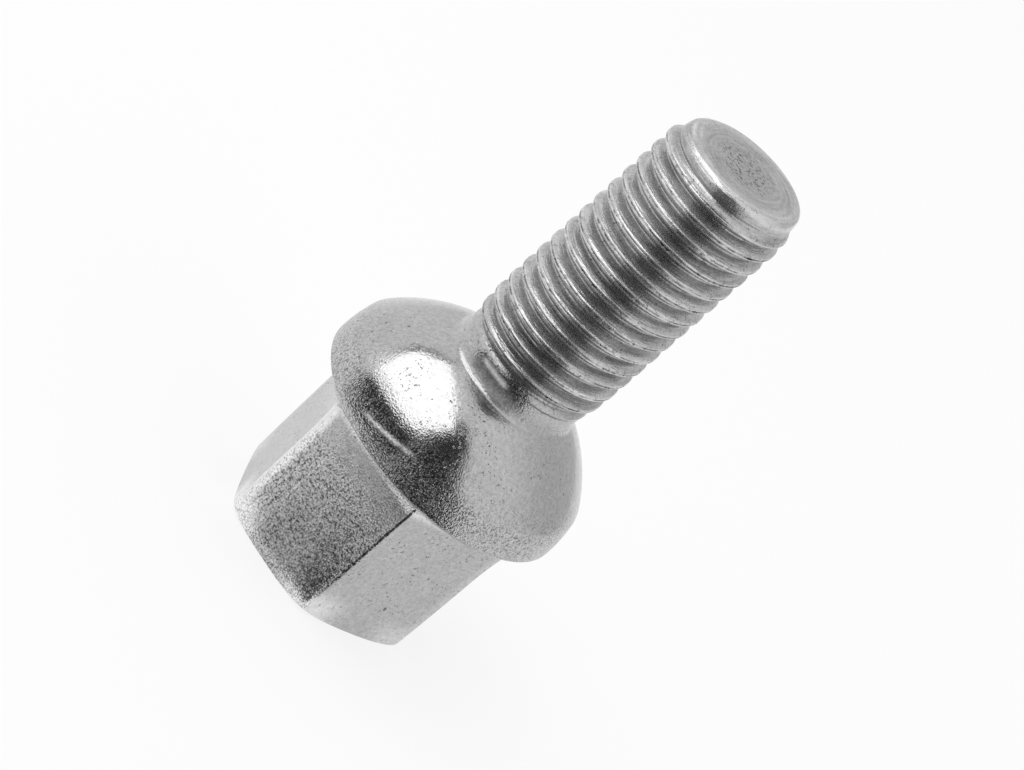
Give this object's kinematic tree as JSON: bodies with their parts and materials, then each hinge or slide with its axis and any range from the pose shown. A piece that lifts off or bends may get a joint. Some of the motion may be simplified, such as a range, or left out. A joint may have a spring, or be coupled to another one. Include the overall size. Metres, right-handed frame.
{
  "type": "wheel bolt",
  "caption": "Plated steel wheel bolt with a hexagon head, a round collar with a ball seat, a short neck and a fine-threaded shank, standing on its head.",
  "frame": {"origin": "centre of the head's flat end, which the bolt stands on", "axes": "+Z along the bolt's axis, from the head to the tip of the shank; a corner of the hexagon points along +X"},
  "size_m": [0.023, 0.023, 0.0464],
  "materials": {
    "plated_steel": "zinc plated, satin, slightly pitted and scuffed"
  },
  "bodies": {
    "root": {"wheel_bolt": "plated_steel"}
  },
  "joints": []
}
